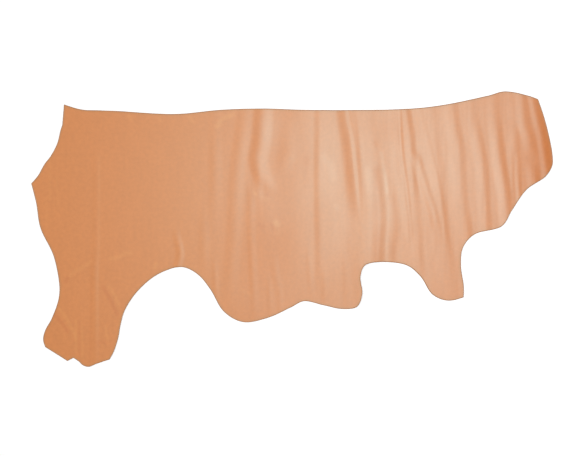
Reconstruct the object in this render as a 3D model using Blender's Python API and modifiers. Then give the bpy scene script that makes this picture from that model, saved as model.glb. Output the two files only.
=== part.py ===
"""One side of vegetable-tanned leather (half a hide), grain side up, lying on a flat surface.

Frame: +X runs along the backbone toward the neck, +Y from the belly up to the backbone,
+Z is up. The origin is at the middle of the hide's outline, on the surface that it lies on.
The cut outline and the folds are in the tables below, in millimetres.
"""

import bmesh
import bpy
import numpy as np
from mathutils import Vector
from mathutils.geometry import delaunay_2d_cdt

MM = 0.001

# Driving sizes (mm)
LENGTH = 2400.0        # butt point to the end of the neck
THICKNESS = 2.4        # about 6 oz leather
RIM_STEP = 17.0        # spacing of the points along the cut edge
RIM_CLEAR = 7.0        # no inner point of the sheet lies nearer to the cut edge than this
ROW_STEP = 47.0        # spacing of the sheet's rows, along the folds
FLAT_COLUMN = 36.0     # spacing of the columns over the smooth butt
BUTT_COLUMN = 17.0     # spacing of the columns across a fold of the butt
FOLD_COLUMN = 12.0     # spacing of the columns across the neck folds
FOLDS_START_X = -300.0  # the columns close up between these two
FOLDS_FULL_X = 60.0

SMOOTH, CORNER = "smooth", "corner"

# The cut edge, clockwise as seen from the grain side, from the root of the tail.
OUTLINE = [
    # landmark            x       y     turn
    ("tail root",      -1050,    574, CORNER),
    ("tail head",       -965,    550, SMOOTH),
    ("croup",           -898,    547, SMOOTH),
    ("rump",            -810,    544, SMOOTH),
    ("loin",            -539,    530, SMOOTH),
    ("mid back",        -330,    549, SMOOTH),
    ("back",            -138,    555, SMOOTH),
    ("shoulder",         105,    548, SMOOTH),
    ("withers",          611,    560, SMOOTH),
    ("crest",            896,    613, SMOOTH),
    ("top of neck",      979,    634, SMOOTH),
    ("poll",            1080,    616, SMOOTH),
    ("poll corner",     1132,    598, CORNER),
    ("cheek",           1168,    488, SMOOTH),
    ("neck end",        1198,    345, SMOOTH),
    ("jaw",             1198,    294, SMOOTH),
    ("jaw turn",        1166,    242, SMOOTH),
    ("throat",          1081,    183, SMOOTH),
    ("mid throat",      1012,     86, SMOOTH),
    ("low throat",       966,     14, SMOOTH),
    ("brisket",          839,    -25, SMOOTH),
    ("fore shank front", 787,    -84, SMOOTH),
    ("fore shank neck",  777,   -170, SMOOTH),
    ("fore shank foot",  790,   -262, SMOOTH),
    ("fore shank toe",   789,   -314, CORNER),
    ("fore shank sole",  713,   -329, SMOOTH),
    ("fore shank heel",  646,   -301, SMOOTH),
    ("fore shank back",  589,   -216, SMOOTH),
    ("arm bay",          520,   -164, SMOOTH),
    ("arm pit",          340,   -164, SMOOTH),
    ("elbow top",        315,   -215, SMOOTH),
    ("elbow",            323,   -299, SMOOTH),
    ("elbow turn",       299,   -357, SMOOTH),
    ("fore belly",       234,   -368, SMOOTH),
    ("girth",            138,   -349, SMOOTH),
    ("navel",             54,   -332, SMOOTH),
    ("mid belly",         -7,   -361, SMOOTH),
    ("hind belly",      -108,   -407, SMOOTH),
    ("belly low",       -226,   -428, SMOOTH),
    ("low flank",       -314,   -380, SMOOTH),
    ("flank",           -377,   -277, SMOOTH),
    ("flank bay",       -433,   -210, SMOOTH),
    ("flank top",       -506,   -175, SMOOTH),
    ("thigh",           -608,   -203, SMOOTH),
    ("mid thigh",       -703,   -277, SMOOTH),
    ("low thigh",       -768,   -370, SMOOTH),
    ("shank back",      -790,   -443, SMOOTH),
    ("hind shank back", -799,   -496, SMOOTH),
    ("toe rise",        -818,   -558, SMOOTH),
    ("hind shank toe",  -840,   -600, CORNER),
    ("hind shank sole", -900,   -620, SMOOTH),
    ("sole low",        -938,   -634, SMOOTH),
    ("sole turn",       -964,   -626, SMOOTH),
    ("sole slope",      -981,   -610, SMOOTH),
    ("sole notch",     -1007,   -593, CORNER),
    ("sole point",     -1034,   -607, CORNER),
    ("hind shank heel", -1136,  -543, CORNER),
    ("heel bulge",     -1146,   -507, SMOOTH),
    ("low hock",       -1136,   -465, SMOOTH),
    ("hock",           -1106,   -410, SMOOTH),
    ("hind shank front", -1074, -317, SMOOTH),
    ("thigh front",    -1072,   -253, SMOOTH),
    ("thigh edge",     -1099,   -121, SMOOTH),
    ("buttock",        -1159,      7, SMOOTH),
    ("low buttock",    -1178,    120, SMOOTH),
    ("butt point",     -1201,    210, CORNER),
    ("rump edge",      -1168,    249, SMOOTH),
    ("low rump edge",  -1140,    299, SMOOTH),
    ("butt",           -1111,    337, SMOOTH),
    ("high butt",      -1081,    395, SMOOTH),
    ("tail bulge",     -1067,    452, SMOOTH),
    ("tail side",      -1058,    479, CORNER),
]

# The folds: soft ridges that stand up from the flat sheet, mostly across the neck, and one
# narrow trough (its heights are below 0). Each is left and right wide at those two sides of its
# crest, and its crest runs smoothly through the points in its row, from the back down.
# fold, left, right, (y, x, height), (y, x, height) ...
FOLDS = [
    # fold, half-width on the left, on the right, (y, x, height) down its crest
    ("croup crease", 30, 20, (
        (380, -898, 0), (330, -898, 0.14), (235, -898, 0.24), (97, -898, 0.20), (-41, -899, 0.28),
        (-133, -902, 0.38), (-180, -905, 0.55), (-280, -905, 0.55), (-400, -904, 0.50),
        (-500, -904, 0.50), (-620, -904, 0.30))),
    ("flank tuck", 27, 22, (
        (14, -532, 0), (-27, -529, 0.30), (-73, -519, 0.60), (-110, -513, 0.75),
        (-142, -517, 0.80), (-170, -524, 0.80), (-200, -527, 0.75))),
    ("loin ripple", 37, 41, (
        (594, -354, 0.10), (428, -354, 0.22), (318, -354, 0.45), (226, -354, 0.40), (65, -359, 0.15),
        (-50, -364, 0))),
    ("flank ripple", 32, 32, (
        (111, -405, 0), (19, -405, 0.22), (-96, -405, 0.30), (-211, -405, 0))),
    ("loin fold", 46, 46, (
        (594, -212, 0.25), (483, -223, 0.55), (401, -235, 0.75), (290, -249, 0.72), (152, -260, 0.62),
        (-13, -267, 0.60), (-179, -279, 0.50), (-326, -285, 0.15), (-441, -290, 0))),
    ("loin hook", 50, 56, (
        (594, -129, 1.45), (511, -137, 1.65), (428, -142, 1.85), (370, -150, 1.85),
        (327, -158, 1.75), (272, -150, 1.50), (217, -127, 1.05), (165, -104, 0))),
    ("hook tail", 40, 30, (
        (345, -150, 0), (272, -156, 0.35), (217, -155, 0.60), (165, -156, 0.50),
        (110, -158, 0))),
    ("loin groove", 23, 28, (
        (226, -193, 0), (152, -189, 0.35), (42, -191, 0.28), (-69, -187, 0.38), (-179, -182, 0.45),
        (-326, -175, 0.30), (-464, -170, 0))),
    ("back dimple", 55, 55, (
        (539, 0, 0), (428, -19, 0.45), (364, -19, 0.55), (309, -32, 0.55), (235, -42, 0))),
    ("back swell", 161, 152, (
        (617, 60, 2.20), (318, 60, 2.20), (42, 64, 1.80), (-188, 73, 1.00), (-395, 83, 0))),
    ("shoulder roll", 38, 84, (
        (617, 134, 0.90), (428, 132, 1.60), (290, 130, 1.90), (134, 131, 1.50), (-50, 135, 1.25),
        (-179, 137, 0.80), (-326, 140, 0))),
    ("withers swell", 115, 138, (
        (617, 297, 4.00), (511, 306, 4.30), (419, 320, 4.80), (327, 332, 4.80), (235, 341, 4.40),
        (143, 346, 3.20), (51, 350, 1.80), (-42, 352, 1.10), (-190, 354, 0.60), (-326, 356, 0))),
    ("withers edge", 50, 20, (
        (617, 238, 1.00), (511, 246, 1.20), (419, 265, 1.25), (327, 276, 1.30), (235, 285, 1.35),
        (166, 291, 0.95), (97, 298, 0.40), (40, 303, 0))),
    ("withers ripple", 20, 36, (
        (594, 298, 0), (511, 304, 0.30), (419, 311, 0.45), (327, 318, 0.50), (235, 325, 0.22),
        (152, 331, 0))),
    ("arm crest", 150, 46, (
        (617, 346, 0.22), (511, 352, 0.28), (419, 366, 0.40), (327, 372, 0.45), (235, 379, 1.35),
        (143, 390, 2.60), (51, 396, 3.00), (-42, 390, 3.30), (-115, 387, 3.40), (-151, 386, 3.20))),
    ("arm fold", 84, 56, (
        (617, 400, 0.25), (511, 410, 0.35), (419, 416, 0.45), (327, 424, 0.40), (235, 436, 0.70),
        (143, 447, 1.60), (51, 455, 1.70), (-42, 446, 1.70), (-115, 437, 1.80), (-151, 436, 1.60))),
    ("arm ripple", 17, 17, (
        (617, 489, -0.60), (511, 494, -0.85), (428, 498, -1.00), (318, 508, -0.80),
        (207, 524, -0.75), (143, 531, -0.80), (51, 541, -0.60), (-41, 549, -0.50), (-106, 552, 0))),
    ("arm pinch", 80, 38, (
        (617, 506, 1.90), (539, 517, 2.10), (428, 535, 2.10), (318, 542, 2.50), (207, 551, 2.10),
        (97, 559, 1.10), (-13, 570, 0.90), (-151, 576, 1.20), (-280, 584, 0.30))),
    ("shoulder blade", 68, 40, (
        (617, 628, 0.90), (483, 641, 0.45), (373, 654, 0.65), (290, 666, 0.95), (180, 675, 1.00),
        (69, 685, 1.35), (-41, 697, 1.45), (-151, 715, 0.70), (-326, 731, 0.20))),
    ("blade ripple", 34, 30, (
        (364, 566, 0), (318, 577, 1.15), (263, 592, 1.15), (198, 612, 1.25), (143, 628, 1.30),
        (97, 643, 1.30), (42, 657, 1.40), (-13, 666, 0.70), (-73, 674, 0))),
    ("fore fold", 55, 39, (
        (617, 727, 0.60), (483, 743, 1.15), (373, 763, 1.20), (263, 768, 1.10), (97, 783, 0.95),
        (-13, 799, 1.20), (-151, 800, 0.40))),
    ("neck fold 1", 44, 34, (
        (640, 814, 0.20), (539, 828, 0.30), (428, 851, 0.90), (290, 874, 1.10), (152, 883, 1.00),
        (-13, 892, 1.00))),
    ("neck fold 2", 43, 38, (
        (663, 917, 0.30), (539, 929, 0.60), (428, 940, 1.35), (318, 953, 1.80), (207, 971, 1.90),
        (120, 981, 1.70), (50, 985, 1.30))),
    ("neck wrinkle", 34, 34, (
        (620, 1012, 0.20), (539, 1014, 0.35), (483, 1018, 0.20), (428, 1021, 0.60),
        (373, 1020, 0.65), (318, 1013, 0.35), (263, 1010, 0.25), (207, 1008, 0.30),
        (134, 1007, 0.20))),
    ("neck fold 3", 40, 36, (
        (663, 1048, 0.90), (594, 1056, 1.05), (539, 1058, 1.05), (483, 1066, 0.95),
        (428, 1085, 0.90), (373, 1096, 0.75), (318, 1104, 0.15), (263, 1108, 0.95),
        (180, 1118, 1.20))),
    ("neck pinch", 18, 19, (
        (373, 1035, 0), (318, 1038, 0.32), (263, 1038, 0.50), (207, 1040, 0.70),
        (134, 1045, 0.60))),
    ("neck end roll", 145, 46, (
        (663, 1082, 0.80), (594, 1100, 0.85), (539, 1115, 0.95), (483, 1132, 1.05),
        (428, 1145, 1.10), (373, 1153, 1.15), (318, 1159, 1.10), (263, 1166, 1.00),
        (207, 1170, 1.00))),
    ("neck edge fold", 27, 34, (
        (640, 1096, 0.40), (594, 1107, 0.65), (539, 1118, 0.75), (483, 1132, 0.90),
        (428, 1145, 1.00), (373, 1153, 1.15), (318, 1161, 1.10), (263, 1168, 1.05),
        (207, 1172, 0.90))),
]

# How far the columns of the sheet lean toward the neck for each mm down, so that they run
# along the folds.
LEAN = [
    # x at the back, lean
    (-1300, 0.00), (-300, 0.00), (-200, -0.06), (-80, 0.00), (150, 0.02), (270, 0.07),
    (520, 0.07), (620, 0.12), (900, 0.09), (1050, 0.12), (1200, 0.15),
]
BACK_Y = 560.0         # where the columns' x is measured

LEATHER_COLOUR = (0.66, 0.31, 0.14, 1.0)
LEATHER_ROUGHNESS = 0.48


def outline_curve():
    """Points along the cut edge about RIM_STEP apart, through every landmark, as an n x 2 array."""
    at = np.array([(x, y) for _, x, y, _ in OUTLINE], float)
    turn = [kind for *_, kind in OUTLINE]
    n = len(at)
    points = []
    for i in range(n):
        before, start, end, after = at[i - 1], at[i], at[(i + 1) % n], at[(i + 2) % n]
        span = np.linalg.norm(end - start)
        leave = arrive = end - start
        if turn[i] == SMOOTH:
            leave = tangent(before, start, end) * span**0.5
        if turn[(i + 1) % n] == SMOOTH:
            arrive = tangent(start, end, after) * span**0.5
        if turn[i] == CORNER and turn[(i + 1) % n] == SMOOTH:
            leave = 1.5 * (end - start) - 0.5 * arrive
        if turn[i] == SMOOTH and turn[(i + 1) % n] == CORNER:
            arrive = 1.5 * (end - start) - 0.5 * leave
        steps = max(1, round(span / RIM_STEP))
        for t in np.arange(steps) / steps:
            points.append(
                (2 * t**3 - 3 * t**2 + 1) * start
                + (t**3 - 2 * t**2 + t) * leave
                + (3 * t**2 - 2 * t**3) * end
                + (t**3 - t**2) * arrive
            )
    points = np.array(points)
    middle = (points.min(axis=0) + points.max(axis=0)) / 2
    points = points - middle
    return points * LENGTH / (points[:, 0].max() - points[:, 0].min())


def tangent(a, b, c):
    """Direction of the curve at b, between a and c, for points spaced by their square root."""
    ab, bc = np.linalg.norm(b - a) ** 0.5, np.linalg.norm(c - b) ** 0.5
    return (b - a) / ab - (c - a) / (ab + bc) + (c - b) / bc


def ease(t):
    """0 to 1 with level ends."""
    t = np.clip(t, 0, 1)
    return t * t * (3 - 2 * t)


def crest_of(points, y):
    """(x, height) of a fold's crest at each y, on a smooth line through its points."""
    y_at, x_at, high = np.array(points, float)[::-1].T
    held = np.clip(y, y_at[0], y_at[-1])
    i = np.clip(np.searchsorted(y_at, held) - 1, 0, len(y_at) - 2)
    step = y_at[i + 1] - y_at[i]
    t = (held - y_at[i]) / step
    found = []
    for at in (x_at, high):
        lean = np.gradient(at, y_at)
        found.append(
            (2 * t**3 - 3 * t**2 + 1) * at[i]
            + (t**3 - 2 * t**2 + t) * lean[i] * step
            + (3 * t**2 - 2 * t**3) * at[i + 1]
            + (t**3 - t**2) * lean[i + 1] * step
        )
        if at is x_at:
            found[0] += (y - held) * np.where(y < held, lean[0], lean[-1])
    return found


def height(x, y):
    """How high the underside stands over the surface at x, y (mm)."""
    z = np.zeros_like(x)
    for _, left, right, points in FOLDS:
        middle, high = crest_of(points, y)
        u = (x - middle) / np.where(x < middle, left, right)
        z += high * np.where(np.abs(u) < 1, np.cos(np.clip(u, -1, 1) * np.pi / 2) ** 2, 0)
    return np.clip(z, 0, None)


def spacing(x):
    """How far apart the columns stand at x: close across the folds, wide over the smooth butt."""
    apart = FLAT_COLUMN + (FOLD_COLUMN - FLAT_COLUMN) * ease(
        (x - FOLDS_START_X) / (FOLDS_FULL_X - FOLDS_START_X)
    )
    for _, left, right, points in FOLDS:
        crest = np.mean([x_at for _, x_at, _ in points])
        if crest - left < x + BUTT_COLUMN and x < crest + right:
            apart = min(apart, BUTT_COLUMN)
    return apart


def columns():
    """x of each column of the sheet, at the back."""
    found, x = [], -LENGTH / 2 - 50
    while x < LENGTH / 2 + 50:
        found.append(x)
        x += spacing(x)
    return np.array(found)


def inside(points, rim):
    """True for each point that lies within the rim and RIM_CLEAR away from it."""
    a, b = rim, np.roll(rim, -1, axis=0)
    kept = np.zeros(len(points), bool)
    for i, p in enumerate(points):
        crosses = (a[:, 1] > p[1]) != (b[:, 1] > p[1])
        at = a[crosses, 0] + (p[1] - a[crosses, 1]) * (b - a)[crosses, 0] / (b - a)[crosses, 1]
        if (at > p[0]).sum() % 2 == 0:
            continue
        t = np.clip(((p - a) * (b - a)).sum(axis=1) / ((b - a) ** 2).sum(axis=1), 0, 1)
        kept[i] = np.linalg.norm(a + t[:, None] * (b - a) - p, axis=1).min() > RIM_CLEAR
    return kept


def sheet_points(rim):
    """The sheet's inner points: rows ROW_STEP apart on columns that lean with the folds."""
    back = columns()
    lean = np.interp(back, [row[0] for row in LEAN], [row[1] for row in LEAN])
    rows = np.arange(rim[:, 1].min() + ROW_STEP / 2, rim[:, 1].max(), ROW_STEP)
    grid = np.array([(x + k * (BACK_Y - y), y) for y in rows for x, k in zip(back, lean)])
    return grid[inside(grid, rim)]


def hide_object(collection):
    rim = outline_curve()
    flat = np.concatenate([rim, sheet_points(rim)])
    # Joined into triangles in a plane squashed across the rows, so that they run along the folds.
    squash = FOLD_COLUMN / ROW_STEP * 1.3
    loop = [(i, (i + 1) % len(rim)) for i in range(len(rim))]
    made = delaunay_2d_cdt(
        [Vector((x, y * squash)) for x, y in flat], loop, [], 1, 1e-4
    )
    plan = np.array([(v.x, v.y / squash) for v in made[0]])
    z = height(plan[:, 0], plan[:, 1])

    bm = bmesh.new()
    verts = [bm.verts.new((x * MM, y * MM, h * MM)) for (x, y), h in zip(plan, z)]
    for face in made[2]:
        bm.faces.new([verts[i] for i in face])
    bmesh.ops.recalc_face_normals(bm, faces=bm.faces)
    if sum(f.normal.z * f.calc_area() for f in bm.faces) < 0:
        bmesh.ops.reverse_faces(bm, faces=bm.faces)
    mesh = bpy.data.meshes.new("hide")
    bm.to_mesh(mesh)
    bm.free()
    mesh.shade_smooth()

    leather = bpy.data.materials.new("leather")
    leather.use_nodes = True
    shader = leather.node_tree.nodes["Principled BSDF"]
    shader.inputs["Base Color"].default_value = LEATHER_COLOUR
    shader.inputs["Roughness"].default_value = LEATHER_ROUGHNESS
    shader.inputs["Metallic"].default_value = 0.0
    mesh.materials.append(leather)

    hide = bpy.data.objects.new("hide", mesh)
    collection.objects.link(hide)
    solid = hide.modifiers.new("thickness", "SOLIDIFY")
    solid.thickness = THICKNESS * MM
    solid.offset = 1.0
    solid.use_even_offset = False
    solid.use_rim = True
    return hide


def main():
    for obj in list(bpy.data.objects):
        bpy.data.objects.remove(obj, do_unlink=True)
    collection = bpy.data.collections.new("leather_hide")
    bpy.context.scene.collection.children.link(collection)
    hide_object(collection)


main()
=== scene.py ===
"""Looks of one side of vegetable-tanned leather that lies grain side up on a pale floor.

The outline and the folds are the construction's own, in millimetres: +X toward the neck, +Y up
to the backbone. The visible piece is one thin sheet with a grain side, a flesh side and a cut
edge. Its fine creases, veins and growth marks are placed here.
"""

import bpy  # noqa: E402
import numpy as np  # noqa: E402
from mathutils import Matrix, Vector, noise  # noqa: E402
from mathutils.geometry import delaunay_2d_cdt  # noqa: E402

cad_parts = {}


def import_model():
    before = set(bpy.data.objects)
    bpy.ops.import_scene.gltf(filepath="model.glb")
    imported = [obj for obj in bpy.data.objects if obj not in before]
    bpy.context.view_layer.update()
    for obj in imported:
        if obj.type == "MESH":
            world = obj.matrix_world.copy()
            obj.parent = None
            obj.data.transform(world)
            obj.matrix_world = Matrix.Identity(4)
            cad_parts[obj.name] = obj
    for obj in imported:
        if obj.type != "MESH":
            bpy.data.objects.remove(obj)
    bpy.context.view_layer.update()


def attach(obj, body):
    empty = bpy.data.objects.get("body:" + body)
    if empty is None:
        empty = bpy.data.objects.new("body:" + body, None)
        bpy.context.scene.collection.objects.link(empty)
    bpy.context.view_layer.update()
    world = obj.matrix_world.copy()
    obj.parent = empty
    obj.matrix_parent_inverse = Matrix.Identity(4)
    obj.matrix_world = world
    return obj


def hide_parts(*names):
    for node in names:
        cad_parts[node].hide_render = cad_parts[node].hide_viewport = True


MM = 0.001

# ---------------------------------------------------------------- sizes (mm)
LENGTH = 2400.0
THICKNESS = 2.4
RIM_STEP = 4.4          # points along the cut edge
EDGE_ROUND = 0.7        # the burnished top corner of the cut edge
RING_IN = 3.6           # a second row of points this far inside the cut edge
RIM_CLEAR = 6.4
ROW_STEP = 9.6
FLAT_COLUMN = 5.6
FOLD_COLUMN = 4.1
FOLDS_START_X = -420.0
FOLDS_FULL_X = 150.0
WAVER = 0.35            # how far the knife wandered along the cut edge
SPECULAR = 0.6          # of the waxed grain

SMOOTH, CORNER = "smooth", "corner"

OUTLINE = [
    # landmark            x       y     turn
    ("tail root",      -1050,    574, CORNER),
    ("tail head",       -965,    550, SMOOTH),
    ("croup",           -898,    547, SMOOTH),
    ("rump",            -810,    544, SMOOTH),
    ("loin",            -539,    530, SMOOTH),
    ("mid back",        -330,    549, SMOOTH),
    ("back",            -138,    555, SMOOTH),
    ("shoulder",         105,    548, SMOOTH),
    ("withers",          611,    560, SMOOTH),
    ("crest",            896,    613, SMOOTH),
    ("top of neck",      979,    634, SMOOTH),
    ("poll",            1080,    616, SMOOTH),
    ("poll corner",     1132,    598, CORNER),
    ("cheek",           1168,    488, SMOOTH),
    ("neck end",        1198,    345, SMOOTH),
    ("jaw",             1198,    294, SMOOTH),
    ("jaw turn",        1166,    242, SMOOTH),
    ("throat",          1081,    183, SMOOTH),
    ("mid throat",      1012,     86, SMOOTH),
    ("low throat",       966,     14, SMOOTH),
    ("brisket",          839,    -25, SMOOTH),
    ("fore shank front", 787,    -84, SMOOTH),
    ("fore shank neck",  777,   -170, SMOOTH),
    ("fore shank foot",  790,   -262, SMOOTH),
    ("fore shank toe",   789,   -314, CORNER),
    ("fore shank sole",  713,   -329, SMOOTH),
    ("fore shank heel",  646,   -301, SMOOTH),
    ("fore shank back",  589,   -216, SMOOTH),
    ("arm bay",          520,   -164, SMOOTH),
    ("arm pit",          340,   -164, SMOOTH),
    ("elbow top",        315,   -215, SMOOTH),
    ("elbow",            323,   -299, SMOOTH),
    ("elbow turn",       299,   -357, SMOOTH),
    ("fore belly",       234,   -368, SMOOTH),
    ("girth",            138,   -349, SMOOTH),
    ("navel",             54,   -332, SMOOTH),
    ("mid belly",         -7,   -361, SMOOTH),
    ("hind belly",      -108,   -407, SMOOTH),
    ("belly low",       -226,   -428, SMOOTH),
    ("low flank",       -314,   -380, SMOOTH),
    ("flank",           -377,   -277, SMOOTH),
    ("flank bay",       -433,   -210, SMOOTH),
    ("flank top",       -506,   -175, SMOOTH),
    ("thigh",           -608,   -203, SMOOTH),
    ("mid thigh",       -703,   -277, SMOOTH),
    ("low thigh",       -768,   -370, SMOOTH),
    ("shank back",      -790,   -443, SMOOTH),
    ("hind shank back", -799,   -496, SMOOTH),
    ("toe rise",        -818,   -558, SMOOTH),
    ("hind shank toe",  -840,   -600, CORNER),
    ("hind shank sole", -900,   -620, SMOOTH),
    ("sole low",        -938,   -634, SMOOTH),
    ("sole turn",       -964,   -626, SMOOTH),
    ("sole slope",      -981,   -610, SMOOTH),
    ("sole notch",     -1007,   -593, CORNER),
    ("sole point",     -1034,   -607, CORNER),
    ("hind shank heel", -1136,  -543, CORNER),
    ("heel bulge",     -1146,   -507, SMOOTH),
    ("low hock",       -1136,   -465, SMOOTH),
    ("hock",           -1106,   -410, SMOOTH),
    ("hind shank front", -1074, -317, SMOOTH),
    ("thigh front",    -1072,   -253, SMOOTH),
    ("thigh edge",     -1099,   -121, SMOOTH),
    ("buttock",        -1159,      7, SMOOTH),
    ("low buttock",    -1178,    120, SMOOTH),
    ("butt point",     -1201,    210, CORNER),
    ("rump edge",      -1168,    249, SMOOTH),
    ("low rump edge",  -1140,    299, SMOOTH),
    ("butt",           -1111,    337, SMOOTH),
    ("high butt",      -1081,    395, SMOOTH),
    ("tail bulge",     -1067,    452, SMOOTH),
    ("tail side",      -1058,    479, CORNER),
]

FOLDS = [
    # fold, half-width on the left, on the right, (y, x, height) down its crest
    ("croup crease", 30, 20, (
        (380, -898, 0), (330, -898, 0.14), (235, -898, 0.24), (97, -898, 0.20), (-41, -899, 0.28),
        (-133, -902, 0.38), (-180, -905, 0.55), (-280, -905, 0.55), (-400, -904, 0.50),
        (-500, -904, 0.50), (-620, -904, 0.30))),
    ("flank tuck", 27, 22, (
        (14, -532, 0), (-27, -529, 0.30), (-73, -519, 0.60), (-110, -513, 0.75),
        (-142, -517, 0.80), (-170, -524, 0.80), (-200, -527, 0.75))),
    ("loin ripple", 37, 41, (
        (594, -354, 0.10), (428, -354, 0.22), (318, -354, 0.45), (226, -354, 0.40), (65, -359, 0.15),
        (-50, -364, 0))),
    ("flank ripple", 32, 32, (
        (111, -405, 0), (19, -405, 0.22), (-96, -405, 0.30), (-211, -405, 0))),
    ("loin fold", 46, 46, (
        (594, -212, 0.25), (483, -223, 0.55), (401, -235, 0.75), (290, -249, 0.72), (152, -260, 0.62),
        (-13, -267, 0.60), (-179, -279, 0.50), (-326, -285, 0.15), (-441, -290, 0))),
    ("loin hook", 50, 56, (
        (594, -129, 1.45), (511, -137, 1.65), (428, -142, 1.85), (370, -150, 1.85),
        (327, -158, 1.75), (272, -150, 1.50), (217, -127, 1.05), (165, -104, 0))),
    ("hook tail", 40, 30, (
        (345, -150, 0), (272, -156, 0.35), (217, -155, 0.60), (165, -156, 0.50),
        (110, -158, 0))),
    ("loin groove", 23, 28, (
        (226, -193, 0), (152, -189, 0.35), (42, -191, 0.28), (-69, -187, 0.38), (-179, -182, 0.45),
        (-326, -175, 0.30), (-464, -170, 0))),
    ("back dimple", 55, 55, (
        (539, 0, 0), (428, -19, 0.45), (364, -19, 0.55), (309, -32, 0.55), (235, -42, 0))),
    ("back swell", 161, 152, (
        (617, 60, 2.20), (318, 60, 2.20), (42, 64, 1.80), (-188, 73, 1.00), (-395, 83, 0))),
    ("shoulder roll", 38, 84, (
        (617, 134, 0.90), (428, 132, 1.60), (290, 130, 1.90), (134, 131, 1.50), (-50, 135, 1.25),
        (-179, 137, 0.80), (-326, 140, 0))),
    ("withers swell", 115, 138, (
        (617, 297, 4.00), (511, 306, 4.30), (419, 320, 4.80), (327, 332, 4.80), (235, 341, 4.40),
        (143, 346, 3.20), (51, 350, 1.80), (-42, 352, 1.10), (-190, 354, 0.60), (-326, 356, 0))),
    ("withers edge", 50, 20, (
        (617, 238, 1.00), (511, 246, 1.20), (419, 265, 1.25), (327, 276, 1.30), (235, 285, 1.35),
        (166, 291, 0.95), (97, 298, 0.40), (40, 303, 0))),
    ("withers ripple", 20, 36, (
        (594, 298, 0), (511, 304, 0.30), (419, 311, 0.45), (327, 318, 0.50), (235, 325, 0.22),
        (152, 331, 0))),
    ("arm crest", 150, 46, (
        (617, 346, 0.22), (511, 352, 0.28), (419, 366, 0.40), (327, 372, 0.45), (235, 379, 1.35),
        (143, 390, 2.60), (51, 396, 3.00), (-42, 390, 3.30), (-115, 387, 3.40), (-151, 386, 3.20))),
    ("arm fold", 84, 56, (
        (617, 400, 0.25), (511, 410, 0.35), (419, 416, 0.45), (327, 424, 0.40), (235, 436, 0.70),
        (143, 447, 1.60), (51, 455, 1.70), (-42, 446, 1.70), (-115, 437, 1.80), (-151, 436, 1.60))),
    ("arm ripple", 17, 17, (
        (617, 489, -0.60), (511, 494, -0.85), (428, 498, -1.00), (318, 508, -0.80),
        (207, 524, -0.75), (143, 531, -0.80), (51, 541, -0.60), (-41, 549, -0.50), (-106, 552, 0))),
    ("arm pinch", 80, 38, (
        (617, 506, 1.90), (539, 517, 2.10), (428, 535, 2.10), (318, 542, 2.50), (207, 551, 2.10),
        (97, 559, 1.10), (-13, 570, 0.90), (-151, 576, 1.20), (-280, 584, 0.30))),
    ("shoulder blade", 68, 40, (
        (617, 628, 0.90), (483, 641, 0.45), (373, 654, 0.65), (290, 666, 0.95), (180, 675, 1.00),
        (69, 685, 1.35), (-41, 697, 1.45), (-151, 715, 0.70), (-326, 731, 0.20))),
    ("blade ripple", 34, 30, (
        (364, 566, 0), (318, 577, 1.15), (263, 592, 1.15), (198, 612, 1.25), (143, 628, 1.30),
        (97, 643, 1.30), (42, 657, 1.40), (-13, 666, 0.70), (-73, 674, 0))),
    ("fore fold", 55, 39, (
        (617, 727, 0.60), (483, 743, 1.15), (373, 763, 1.20), (263, 768, 1.10), (97, 783, 0.95),
        (-13, 799, 1.20), (-151, 800, 0.40))),
    ("neck fold 1", 44, 34, (
        (640, 814, 0.20), (539, 828, 0.30), (428, 851, 0.90), (290, 874, 1.10), (152, 883, 1.00),
        (-13, 892, 1.00))),
    ("neck fold 2", 43, 38, (
        (663, 917, 0.30), (539, 929, 0.60), (428, 940, 1.35), (318, 953, 1.80), (207, 971, 1.90),
        (120, 981, 1.70), (50, 985, 1.30))),
    ("neck wrinkle", 34, 34, (
        (620, 1012, 0.20), (539, 1014, 0.35), (483, 1018, 0.20), (428, 1021, 0.60),
        (373, 1020, 0.65), (318, 1013, 0.35), (263, 1010, 0.25), (207, 1008, 0.30),
        (134, 1007, 0.20))),
    ("neck fold 3", 40, 36, (
        (663, 1048, 0.90), (594, 1056, 1.05), (539, 1058, 1.05), (483, 1066, 0.95),
        (428, 1085, 0.90), (373, 1096, 0.75), (318, 1104, 0.15), (263, 1108, 0.95),
        (180, 1118, 1.20))),
    ("neck pinch", 18, 19, (
        (373, 1035, 0), (318, 1038, 0.32), (263, 1038, 0.50), (207, 1040, 0.70),
        (134, 1045, 0.60))),
    ("neck end roll", 145, 46, (
        (663, 1082, 0.80), (594, 1100, 0.85), (539, 1115, 0.95), (483, 1132, 1.05),
        (428, 1145, 1.10), (373, 1153, 1.15), (318, 1159, 1.10), (263, 1166, 1.00),
        (207, 1170, 1.00))),
    ("neck edge fold", 27, 34, (
        (640, 1096, 0.40), (594, 1107, 0.65), (539, 1118, 0.75), (483, 1132, 0.90),
        (428, 1145, 1.00), (373, 1153, 1.15), (318, 1161, 1.10), (263, 1168, 1.05),
        (207, 1172, 0.90))),
]

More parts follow.
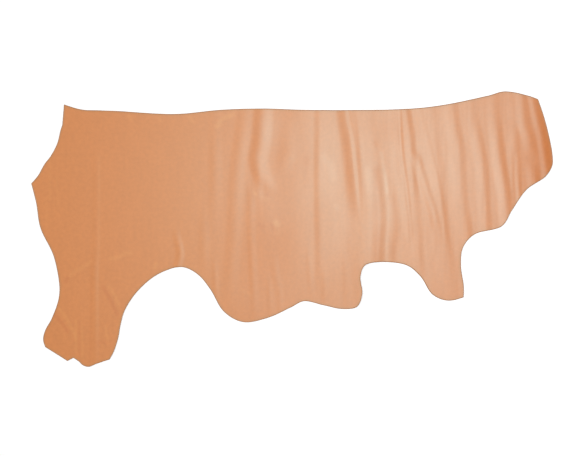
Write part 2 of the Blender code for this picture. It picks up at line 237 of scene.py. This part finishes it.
CREASES = [
    # crease, half-width on the left, on the right, (y, x, height) down its line
    ("belly ripple 1", 20, 19, ((-120, -356, 0), (-190, -354, 0.25), (-290, -350, 0.25), (-360, -345, 0))),
    ("belly ripple 2", 28, 22, ((-110, -80, 0), (-180, -76, 0.28), (-250, -70, 0.22), (-300, -66, 0))),
    ("belly ripple 3", 19, 18, ((-210, -106, 0), (-270, -103, 0.22), (-350, -100, 0.22), (-420, -98, 0))),
    ("belly ripple 4", 19, 18, ((-210, -58, 0), (-270, -56, 0.16), (-350, -54, 0.20), (-420, -52, 0))),
    ("belly ripple 5", 19, 20, ((-60, 75, 0), (-130, 77, 0.20), (-230, 84, 0.24), (-330, 92, 0))),
    ("belly ripple 6", 22, 24, ((-170, 148, 0), (-230, 152, 0.35), (-300, 152, 0.38), (-350, 152, 0.20))),
    ("blade edge", 20, 20, (
        (511, 597, 0.12), (437, 616, 0.24), (373, 631, 0.30), (309, 646, 0.32), (244, 663, 0.42),
        (180, 675, 0.42), (115, 686, 0.32), (51, 694, 0.22), (-14, 702, 0.16), (-78, 711, 0))),
    ("throat wrinkle", 13, 13, ((327, 1012, 0), (290, 1013, 0.08), (200, 1014, 0.16), (150, 1016, 0.10))),
    ("belly ripple 7", 22, 24, ((-100, 248, 0), (-180, 248, 0.32), (-250, 250, 0.35), (-330, 254, 0.20))),
]

# Paler (above 0) and darker (below 0) strokes of the grain: growth marks, scars, veins and patches. The arm
# shade, arm light, arm pad and roll ease strokes are painted shade and painted highlight along the folds.
MARKS_AND_FOLD_LIGHT = [
    # mark, half-width, how much, the (x, y) points that it runs through
    ("croup streak", 9, 0.034, ((-887, 330), (-887, 100), (-888, -40), (-895, -300), (-897, -520))),
    ("croup line", 9, -0.031, ((-922, -120), (-923, -300), (-925, -440), (-927, -600))),
    ("thigh vein", 16, 0.085, ((-833, -136), (-800, -133), (-770, -112), (-742, -108))),
    ("thigh scar", 15, 0.076, ((-925, -150), (-960, -175), (-1000, -195), (-1022, -215))),
    ("thigh scar edge", 15, -0.076, ((-1032, -222), (-1040, -242))),
    ("hock wrinkle 1", 14, -0.085, ((-1090, -395), (-1060, -430), (-1032, -470))),
    ("hock wrinkle 2", 13, 0.076, ((-1070, -365), (-1040, -405), (-1005, -470), (-995, -500))),
    ("shank line 1", 9, 0.060, ((-994, -420), (-994, -560))),
    ("shank line 2", 9, 0.051, ((-966, -440), (-964, -590))),
    ("shank line 3", 8, -0.043, ((-978, -430), (-978, -580))),
    ("shank fold 1", 15, -0.085, ((-868, -268), (-838, -320), (-805, -392))),
    ("shank fold 2", 14, 0.068, ((-842, -262), (-812, -310), (-796, -352))),
    ("shank fold 3", 12, 0.060, ((-858, -452), (-846, -520))),
    ("shank fold 4", 14, -0.060, ((-900, -520), (-840, -520))),
    ("butt streak 1", 12, 0.037, ((-1116, 330), (-1112, 140))),
    ("butt streak 2", 9, 0.034, ((-1082, 240), (-1078, 110))),
    ("butt streak 3", 9, 0.027, ((-1130, 140), (-1128, -10))),
    ("back mark 1", 15, 0.068, ((-752, 520), (-738, 506))),
    ("back mark 2", 15, 0.068, ((-612, 516), (-604, 500))),
    ("back mark 3", 16, 0.068, ((-470, 512), (-458, 494))),
    ("loin scar", 19, 0.120, ((-345, 472), (-322, 506), (-272, 526))),
    ("flank fleck", 14, 0.085, ((-632, -178), (-624, -160))),
    ("rib fleck 1", 12, 0.120, ((-176, 170), (-167, 160))),
    ("rib fleck 2", 12, 0.060, ((-142, 150), (-120, 136), (-100, 142))),
    ("rib spot 1", 15, -0.060, ((-118, 160), (-104, 154))),
    ("rib spot 2", 17, -0.068, ((-150, 18), (-132, 10))),
    ("rib pearl", 25, 0.190, ((-73, 30), (-67, 22))),
    ("rib pearl shade", 14, -0.070, ((-94, 20), (-88, 2))),
    ("rib pearl tail", 13, 0.060, ((-62, -6), (-64, -22))),
    ("belly fleck", 13, 0.051, ((-234, -276), (-190, -304))),
    ("swell patch 1", 36, 0.051, ((146, 330), (176, 290), (190, 240))),
    ("swell patch 2", 22, 0.051, ((202, 106), (208, 96))),
    ("swell patch 3", 26, -0.037, ((66, 322), (66, 306))),
    ("swell patch 4", 24, 0.037, ((4, 330), (10, 318))),
    ("withers patch", 32, 0.034, ((350, 270), (352, 180))),
    ("arm spot", 17, -0.060, ((380, 400), (386, 386))),
    # painted shade and painted highlight along the arm crest and the arm fold
    ("arm shade", 32, -0.085, ((384, 270), (386, 226), (388, 115), (389, 5), (386, -68), (386, -155))),
    ("arm pad", 62, 0.040, ((330, 120), (322, 40), (318, -60), (322, -140))),
    ("arm light top", 16, 0.085, ((410, 350), (418, 300), (430, 226), (437, 170))),
    ("arm light", 13, 0.050, ((427, 250), (430, 226), (444, 115), (444, 5), (434, -68), (434, -150))),
    ("arm shade low", 26, -0.035, ((466, 150), (469, 115), (483, 5), (466, -68), (462, -140))),
    ("arm glow", 20, 0.030, ((506, 190), (510, 110), (516, 20), (528, -30))),
    # painted highlight that eases the shade of the shoulder roll
    ("roll ease", 20, 0.035, ((112, 470), (108, 300), (110, 150))),
]

# The grain is less glossy, or glossier (below 0), in soft patches.
DULL = [
    # patch, x, y, half its width, half its length, turn in degrees, how much
    ("neck end", 1152, 345, 168, 400, -10, 0.40),
    ("brisket", 780, -140, 240, 300, 0, 0.12),
    ("elbow", 500, -90, 170, 190, 0, 0.12),
    ("shoulder low", 690, 60, 150, 260, 0, 0.05),
    ("ribs", 130, 50, 110, 190, 0, 0.13),
    ("girth", 210, -200, 230, 260, 0, 0.10),
    ("belly", -130, -60, 230, 320, 0, 0.20),
    ("withers", 400, 90, 60, 200, 0, -0.10),
    ("elbow high", 585, 50, 150, 210, 0, 0.08),
    ("withers top", 497, 470, 120, 110, 0, 0.08),
    ("swell", 378, 225, 80, 130, 0, -0.07),
    ("back", -78, 470, 120, 130, 0, -0.15),
    ("rib top", -65, 70, 100, 130, 0, -0.08),
    ("throat", 750, 100, 170, 150, 0, 0.04),
    ("roll shade", 74, 290, 46, 190, 0, 0.09),
]

LEAN = [
    # x at the back, lean
    (-1300, 0.00), (-300, 0.00), (-200, -0.06), (-80, 0.00), (150, 0.02), (270, 0.07),
    (520, 0.07), (620, 0.12), (900, 0.09), (1050, 0.12), (1200, 0.15),
]
BACK_Y = 560.0


# ---------------------------------------------------------------- shape
def tangent(a, b, c):
    ab, bc = np.linalg.norm(b - a) ** 0.5, np.linalg.norm(c - b) ** 0.5
    return (b - a) / ab - (c - a) / (ab + bc) + (c - b) / bc


def outline_curve(step):
    """Points along the cut edge, clockwise, about step apart."""
    at = np.array([(x, y) for _, x, y, _ in OUTLINE], float)
    turn = [kind for *_, kind in OUTLINE]
    n = len(at)
    points = []
    for i in range(n):
        before, start, end, after = at[i - 1], at[i], at[(i + 1) % n], at[(i + 2) % n]
        span = np.linalg.norm(end - start)
        leave = arrive = end - start
        if turn[i] == SMOOTH:
            leave = tangent(before, start, end) * span**0.5
        if turn[(i + 1) % n] == SMOOTH:
            arrive = tangent(start, end, after) * span**0.5
        if turn[i] == CORNER and turn[(i + 1) % n] == SMOOTH:
            leave = 1.5 * (end - start) - 0.5 * arrive
        if turn[i] == SMOOTH and turn[(i + 1) % n] == CORNER:
            arrive = 1.5 * (end - start) - 0.5 * leave
        steps = max(1, round(span / step))
        for t in np.arange(steps) / steps:
            points.append(
                (2 * t**3 - 3 * t**2 + 1) * start
                + (t**3 - 2 * t**2 + t) * leave
                + (3 * t**2 - 2 * t**3) * end
                + (t**3 - t**2) * arrive
            )
    points = np.array(points)
    middle = (points.min(axis=0) + points.max(axis=0)) / 2
    points = points - middle
    return points * LENGTH / (points[:, 0].max() - points[:, 0].min())


def inward(points):
    """Unit normals of the closed clockwise line, pointing into the hide."""
    along = np.roll(points, -1, axis=0) - np.roll(points, 1, axis=0)
    along /= np.linalg.norm(along, axis=1)[:, None]
    return np.stack([along[:, 1], -along[:, 0]], axis=1)


def ease(t):
    t = np.clip(t, 0, 1)
    return t * t * (3 - 2 * t)


def crest_of(points, y):
    """(x, height) of a fold's crest at each y, on a smooth line through its points."""
    y_at, x_at, high = np.array(points, float)[::-1].T
    held = np.clip(y, y_at[0], y_at[-1])
    i = np.clip(np.searchsorted(y_at, held) - 1, 0, len(y_at) - 2)
    step = y_at[i + 1] - y_at[i]
    t = (held - y_at[i]) / step
    found = []
    for at in (x_at, high):
        lean = np.gradient(at, y_at)
        found.append(
            (2 * t**3 - 3 * t**2 + 1) * at[i]
            + (t**3 - 2 * t**2 + t) * lean[i] * step
            + (3 * t**2 - 2 * t**3) * at[i + 1]
            + (t**3 - t**2) * lean[i + 1] * step
        )
        if at is x_at:
            found[0] += (y - held) * np.where(y < held, lean[0], lean[-1])
    return found


def ridge_of(row, x, y):
    """One row of FOLDS or CREASES at x, y."""
    _, left, right, points = row
    middle, high = crest_of(points, y)
    u = (x - middle) / np.where(x < middle, left, right)
    return high * np.where(np.abs(u) < 1, np.cos(np.clip(u, -1, 1) * np.pi / 2) ** 2, 0)


def patch_of(row, x, y):
    """One row of DULL at x, y."""
    _, x_at, y_at, wide, long, turn, high = row
    c, s = np.cos(np.radians(turn)), np.sin(np.radians(turn))
    u = ((x - x_at) * c + (y - y_at) * s) / wide
    v = ((y - y_at) * c - (x - x_at) * s) / long
    return high * np.clip(1 - u * u - v * v, 0, 1) ** 2


def stroke_of(row, x, y):
    """One row of MARKS_AND_FOLD_LIGHT at x, y: strong along its line, and gone at its half-width from there."""
    _, wide, amount, points = row
    near = np.full(len(x), np.inf)
    for (ax, ay), (bx, by) in zip(points, points[1:]):
        t = np.clip(((x - ax) * (bx - ax) + (y - ay) * (by - ay)) / ((bx - ax) ** 2 + (by - ay) ** 2), 0, 1)
        near = np.minimum(near, np.hypot(x - ax - t * (bx - ax), y - ay - t * (by - ay)))
    return amount * np.cos(np.clip(near / wide, 0, 1) * np.pi / 2) ** 2


def columns():
    found, x = [], -LENGTH / 2 - 50
    while x < LENGTH / 2 + 50:
        found.append(x)
        x += FLAT_COLUMN + (FOLD_COLUMN - FLAT_COLUMN) * ease(
            (x - FOLDS_START_X) / (FOLDS_FULL_X - FOLDS_START_X)
        )
    return np.array(found)


def to_rim(points, rim, chunk=1500):
    """(distance to the rim, whether inside) of each point."""
    a, b = rim, np.roll(rim, -1, axis=0)
    ab = b - a
    length2 = (ab**2).sum(axis=1)
    far, within = np.empty(len(points)), np.empty(len(points), bool)
    for i in range(0, len(points), chunk):
        p = points[i : i + chunk, None, :]
        t = np.clip(((p - a) * ab).sum(axis=2) / length2, 0, 1)
        gap = a + t[:, :, None] * ab - p
        far[i : i + chunk] = np.sqrt((gap**2).sum(axis=2).min(axis=1))
        crosses = (a[:, 1] > p[..., 1]) != (b[:, 1] > p[..., 1])
        with np.errstate(divide="ignore", invalid="ignore"):
            at = a[:, 0] + (p[..., 1] - a[:, 1]) * ab[:, 0] / ab[:, 1]
        within[i : i + chunk] = (crosses & (at > p[..., 0])).sum(axis=1) % 2 == 1
    return far, within


def wobble(x, y, size_x, size_y, seed):
    """Smooth noise between about -1 and 1, with cells size_x by size_y mm."""
    return np.array(
        [noise.noise(Vector((a / size_x, b / size_y, seed))) for a, b in zip(x, y)]
    )


def flat_plan():
    """The sheet's points in the plane, its triangles, and how many of the first points are the rim."""
    rim = outline_curve(RIM_STEP)
    rim = rim + inward(rim) * (
        WAVER * wobble(rim[:, 0], rim[:, 1], 31, 31, 4.0)[:, None] + WAVER
    )
    ring = rim + inward(rim) * RING_IN
    far, within = to_rim(ring, rim)
    ring = ring[within & (far > 0.8 * RING_IN)]
    back = columns()
    lean = np.interp(back, [row[0] for row in LEAN], [row[1] for row in LEAN])
    rows = np.arange(rim[:, 1].min() + ROW_STEP / 2, rim[:, 1].max(), ROW_STEP)
    x = back[None, :] + lean[None, :] * (BACK_Y - rows[:, None])
    grid = np.stack([x, np.broadcast_to(rows[:, None], x.shape)], axis=2).reshape(-1, 2)
    far, within = to_rim(grid, rim)
    grid = grid[within & (far > RIM_CLEAR)]
    flat = np.concatenate([rim, ring, grid])
    squash = FOLD_COLUMN / ROW_STEP * 1.3
    loop = [(i, (i + 1) % len(rim)) for i in range(len(rim))]
    made = delaunay_2d_cdt([Vector((a, b * squash)) for a, b in flat], loop, [], 1, 1e-5)
    assert len(made[0]) == len(flat), "two points of the sheet fell together"
    plan = np.array([(v.x, v.y / squash) for v in made[0]])
    faces = np.array([tuple(f) for f in made[2]])
    a, b, c = (plan[faces[:, i]] for i in range(3))
    turned = (b - a)[:, 0] * (c - a)[:, 1] - (b - a)[:, 1] * (c - a)[:, 0] < 0
    faces[turned] = faces[turned][:, ::-1]
    return plan, faces, len(rim), rim


def build_hide():
    plan, faces, n_rim, rim = flat_plan()
    x, y = plan[:, 0], plan[:, 1]
    n = len(plan)
    under = np.clip(sum(ridge_of(row, x, y) for row in FOLDS), 0, None)
    top = under + THICKNESS
    for row in CREASES:
        top = top + ridge_of(row, x, y)
    neck = ease((x + 250) / 900)
    top = top + 0.040 * neck * wobble(x, y, 10, 90, 2.5) + 0.012 * wobble(x, y, 16, 60, 8.5)
    # a mark shows as a change of tone on the butt, and of gloss where the sheen is; the fold strokes among them
    # are painted shade and painted highlight
    marks = sum(stroke_of(row, x, y) for row in MARKS_AND_FOLD_LIGHT)
    sheen = ease((x + 300) / 600)
    streaks = wobble(x, y, 11, 90, 5.5)
    gloss = 1 - sum(patch_of(row, x, y) for row in DULL) + 2.0 * sheen * marks + 0.065 * neck * streaks
    pale = 1.35 * (1 - 0.75 * sheen) * marks
    shade = 1 + 0.014 * streaks
    shade = shade + 0.012 * wobble(x, y, 70, 120, 1.5) + 0.018 * wobble(x, y, 26, 80, 3.5)
    far, _ = to_rim(plan, rim)

    # 0 .. n-1 the flesh side, n .. 2n-1 the grain side, then the ring below its rounded corner
    rim_normal = inward(plan[:n_rim])
    grain = np.column_stack([x, y, top])
    grain[:n_rim, :2] += rim_normal * EDGE_ROUND
    shoulder = np.column_stack([plan[:n_rim], top[:n_rim] - EDGE_ROUND])
    points = np.concatenate([np.column_stack([x, y, under]), grain, shoulder]) * MM
    i = np.arange(n_rim)
    j = (i + 1) % n_rim
    edge = np.concatenate(
        [
            np.column_stack([i, j, 2 * n + j, 2 * n + i]),
            np.column_stack([2 * n + i, 2 * n + j, n + j, n + i]),
        ]
    )
    polys = [f[::-1] for f in faces.tolist()] + (faces + n).tolist() + edge.tolist()
    mesh = bpy.data.meshes.new("leather_hide")
    mesh.from_pydata(points.tolist(), [], polys)
    slots = np.concatenate(
        [np.full(len(faces), 1), np.full(len(faces), 0), np.full(len(edge), 2)]
    )
    mesh.polygons.foreach_set("material_index", slots.astype(np.int32))
    mesh.shade_smooth()
    total = len(points)
    rim_far = np.zeros(total)
    rim_far[:n] = far
    rim_far[n : 2 * n] = far
    put(mesh, "rim_mm", rim_far)
    put(mesh, "gloss", SPECULAR * np.concatenate([gloss, gloss, gloss[:n_rim]]))
    put(mesh, "shade", np.concatenate([shade, shade, shade[:n_rim]]))
    put(mesh, "pale", np.concatenate([pale, pale, pale[:n_rim]]))
    mesh.update()
    mesh.validate()

    hide = bpy.data.objects.new("leather_hide", mesh)
    bpy.context.scene.collection.objects.link(hide)
    area = 0.5 * abs(
        (rim[:, 0] * np.roll(rim[:, 1], -1) - rim[:, 1] * np.roll(rim[:, 0], -1)).sum()
    )
    print("hide:", len(mesh.polygons), "faces, flat area m2", round(area * 1e-6, 4))
    return hide, area * 1e-6


def put(mesh, name, values):
    layer = mesh.attributes.new(name, "FLOAT", "POINT")
    layer.data.foreach_set("value", np.asarray(values, np.float32))


# ---------------------------------------------------------------- materials
class Nodes:
    """A short way to add and join shader nodes."""

    def __init__(self, material):
        material.use_nodes = True
        self.tree = material.node_tree
        self.shader = self.tree.nodes["Principled BSDF"]

    def add(self, kind, **settings):
        node = self.tree.nodes.new(kind)
        for key, value in settings.items():
            setattr(node, key, value)
        return node

    def join(self, a, b):
        self.tree.links.new(a, b)

    def put(self, node, **values):
        for key, value in values.items():
            node.inputs[key].default_value = value
        return node


# Colour of the grain from the butt to the neck: x (mm), then the colour. The last stop makes the neck end darker,
# partly the grain's own tone and partly painted shade where the neck edge turns away from the light.
BASE_TONES = [
    (-1200, (0.562, 0.190, 0.049)),
    (-800, (0.558, 0.190, 0.050)),
    (-450, (0.549, 0.186, 0.046)),
    (-150, (0.541, 0.176, 0.042)),
    (200, (0.527, 0.172, 0.040)),
    (700, (0.524, 0.167, 0.039)),
    (1040, (0.520, 0.160, 0.035)),
    (1200, (0.490, 0.142, 0.028)),
]


# The grain beside the cut edge, by its distance from the edge (mm): darker and greyer, partly a burnished edge
# and partly painted shadow along the cut edge
RIM_TONES = [
    (0, (0.80, 0.88, 1.0)),
    (3, (0.86, 0.94, 1.0)),
    (7, (0.93, 0.98, 1.0)),
    (13, (1.0, 1.0, 1.0)),
]


def ramp(k, source, low, high, tones):
    """A colour ramp over the values low .. high of source."""
    spread = k.add("ShaderNodeMapRange")
    spread.inputs["From Min"].default_value = low
    spread.inputs["From Max"].default_value = high
    k.join(source, spread.inputs["Value"])
    node = k.add("ShaderNodeValToRGB")
    elements = node.color_ramp.elements
    while len(elements) < len(tones):
        elements.new(0.5)
    for element, (at, colour) in zip(elements, tones):
        element.position = (at - low) / (high - low)
        element.color = (*colour, 1)
    k.join(spread.outputs["Result"], node.inputs["Fac"])
    return node.outputs["Color"]


def grain_material():
    material = bpy.data.materials.new("grain_side")
    k = Nodes(material)
    place = k.add("ShaderNodeTexCoord")
    k.put(k.shader, Roughness=0.40)
    k.shader.inputs["Specular Tint"].default_value = (0.58, 1.0, 0.98, 1)
    gloss = k.add("ShaderNodeAttribute", attribute_name="gloss")
    k.join(gloss.outputs["Fac"], k.shader.inputs["Specular IOR Level"])
    axes = k.add("ShaderNodeSeparateXYZ")
    k.join(place.outputs["Object"], axes.inputs["Vector"])
    # the grain colour along the length, darker at the neck end partly as painted shade
    tone = ramp(k, axes.outputs["X"], -1.2, 1.2, [(x * MM, c) for x, c in BASE_TONES])
    shade = k.add("ShaderNodeAttribute", attribute_name="shade")
    mottle = k.add("ShaderNodeTexNoise")
    k.put(mottle, Scale=60, Detail=3, Roughness=0.55)
    k.join(place.outputs["Object"], mottle.inputs["Vector"])
    spotted = k.add("ShaderNodeMapRange")
    k.put(spotted, **{"From Min": 0.25, "From Max": 0.75, "To Min": 0.950, "To Max": 1.050})
    k.join(mottle.outputs["Fac"], spotted.inputs["Value"])
    both = k.add("ShaderNodeMath", operation="MULTIPLY")
    k.join(shade.outputs["Fac"], both.inputs[0])
    k.join(spotted.outputs["Result"], both.inputs[1])
    marked = k.add("ShaderNodeVectorMath", operation="SCALE")
    k.join(tone, marked.inputs[0])
    k.join(both.outputs["Value"], marked.inputs["Scale"])
    # darker, greyer grain beside the cut edge: burnished edge and painted shadow
    rim = k.add("ShaderNodeAttribute", attribute_name="rim_mm")
    edge_wear_and_shade = ramp(k, rim.outputs["Fac"], 0, 14, RIM_TONES)
    edged = k.add("ShaderNodeVectorMath", operation="MULTIPLY")
    k.join(marked.outputs["Vector"], edged.inputs[0])
    k.join(edge_wear_and_shade, edged.inputs[1])
    # a mark takes the orange out of the leather, or deepens it; on the fold strokes this is painted highlight and
    # painted shade
    pale = k.add("ShaderNodeAttribute", attribute_name="pale")
    gain = k.add("ShaderNodeVectorMath", operation="MULTIPLY_ADD")
    k.join(pale.outputs["Fac"], gain.inputs[0])
    gain.inputs[1].default_value = (0.45, 1.0, 1.15)
    gain.inputs[2].default_value = (1, 1, 1)
    stained = k.add("ShaderNodeVectorMath", operation="MULTIPLY")
    k.join(edged.outputs["Vector"], stained.inputs[0])
    k.join(gain.outputs["Vector"], stained.inputs[1])
    k.join(stained.outputs["Vector"], k.shader.inputs["Base Color"])
    # fine pore and pebble bump
    pore = k.add("ShaderNodeTexVoronoi", feature="F1")
    pore.inputs["Scale"].default_value = 620
    k.join(place.outputs["Object"], pore.inputs["Vector"])
    bump = k.add("ShaderNodeBump")
    bump.inputs["Strength"].default_value = 0.12
    bump.inputs["Distance"].default_value = 0.0004
    k.join(pore.outputs["Distance"], bump.inputs["Height"])
    k.join(bump.outputs["Normal"], k.shader.inputs["Normal"])
    return material


def flesh_material():
    """The back of the leather: pale, dull and fibrous."""
    material = bpy.data.materials.new("flesh_side")
    k = Nodes(material)
    place = k.add("ShaderNodeTexCoord")
    cloud = k.add("ShaderNodeTexNoise")
    k.put(cloud, Scale=14, Detail=7, Roughness=0.6)
    k.join(place.outputs["Object"], cloud.inputs["Vector"])
    tone = ramp(k, cloud.outputs["Fac"], 0.3, 0.7, [(0.3, (0.50, 0.29, 0.155)), (0.7, (0.60, 0.37, 0.22))])
    k.join(tone, k.shader.inputs["Base Color"])
    k.put(k.shader, Roughness=0.92)
    fibre = k.add("ShaderNodeTexNoise")
    k.put(fibre, Scale=900, Detail=3, Roughness=0.6)
    k.join(place.outputs["Object"], fibre.inputs["Vector"])
    bump = k.add("ShaderNodeBump")
    k.put(bump, Strength=0.35, Distance=0.0006)
    k.join(fibre.outputs["Fac"], bump.inputs["Height"])
    k.join(bump.outputs["Normal"], k.shader.inputs["Normal"])
    return material


def edge_material():
    """The raw cut edge, darker than the grain."""
    material = bpy.data.materials.new("cut_edge")
    k = Nodes(material)
    k.shader.inputs["Base Color"].default_value = (0.36, 0.17, 0.08, 1)
    k.put(k.shader, Roughness=0.7)
    return material


# ---------------------------------------------------------------- stage
CAMERA_X, CAMERA_Y = -0.0325, 0.0051     # the middle of the view
VIEW_WIDTH = 2.622                       # of the floor
LENS, SENSOR = 85.0, 36.0


def add_camera():
    data = bpy.data.cameras.new("camera")
    data.lens, data.sensor_width, data.sensor_fit = LENS, SENSOR, "HORIZONTAL"
    data.clip_end = 100
    camera = bpy.data.objects.new("camera", data)
    camera.location = (CAMERA_X, CAMERA_Y, VIEW_WIDTH * LENS / SENSOR)
    bpy.context.scene.collection.objects.link(camera)
    bpy.context.scene.camera = camera


def area_light(name, place, aim, size, power, colour=(1, 1, 1)):
    data = bpy.data.lights.new(name, "AREA")
    data.shape = "RECTANGLE"
    data.size, data.size_y = size
    data.energy, data.color = power, colour
    light = bpy.data.objects.new(name, data)
    light.location = place
    light.rotation_euler = (Vector(aim) - Vector(place)).to_track_quat("-Z", "Y").to_euler()
    light.visible_camera = False
    bpy.context.scene.collection.objects.link(light)


def sun_light(name, direction, angle, strength, colour=(1, 1, 1)):
    data = bpy.data.lights.new(name, "SUN")
    data.energy, data.angle, data.color = strength, angle, colour
    light = bpy.data.objects.new(name, data)
    light.rotation_euler = Vector(direction).to_track_quat("-Z", "Y").to_euler()
    bpy.context.scene.collection.objects.link(light)


def add_stage():
    mesh = bpy.data.meshes.new("floor")
    h = 14.0
    mesh.from_pydata([(-h, -h, -0.0004), (h, -h, -0.0004), (h, h, -0.0004), (-h, h, -0.0004)], [], [(0, 1, 2, 3)])
    floor = bpy.data.objects.new("floor", mesh)
    material = bpy.data.materials.new("pale_floor")
    k = Nodes(material)
    k.shader.inputs["Base Color"].default_value = (0.92, 0.92, 0.92, 1)
    k.shader.inputs["Roughness"].default_value = 0.9
    k.shader.inputs["Specular IOR Level"].default_value = 0.1
    mesh.materials.append(material)
    bpy.context.scene.collection.objects.link(floor)

    world = bpy.data.worlds.new("studio")
    world.use_nodes = True
    background = world.node_tree.nodes["Background"]
    background.inputs["Color"].default_value = (1, 1, 1, 1)
    background.inputs["Strength"].default_value = 0.38
    bpy.context.scene.world = world
    bpy.context.scene.view_settings.view_transform = "Standard"
    area_light("softbox", (0.95, 0.48, 7.0), (0.55, 0.28, 0), (1.0, 1.0), 320)
    sun_light("rake", (0.80, -0.15, -0.58), 0.22, 1.15)
    return floor


def main():
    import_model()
    add_camera()
    floor = add_stage()
    hide, area = build_hide()
    for material in (grain_material(), flesh_material(), edge_material()):
        hide.data.materials.append(material)
    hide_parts("hide")
    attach(hide, "root")


main()
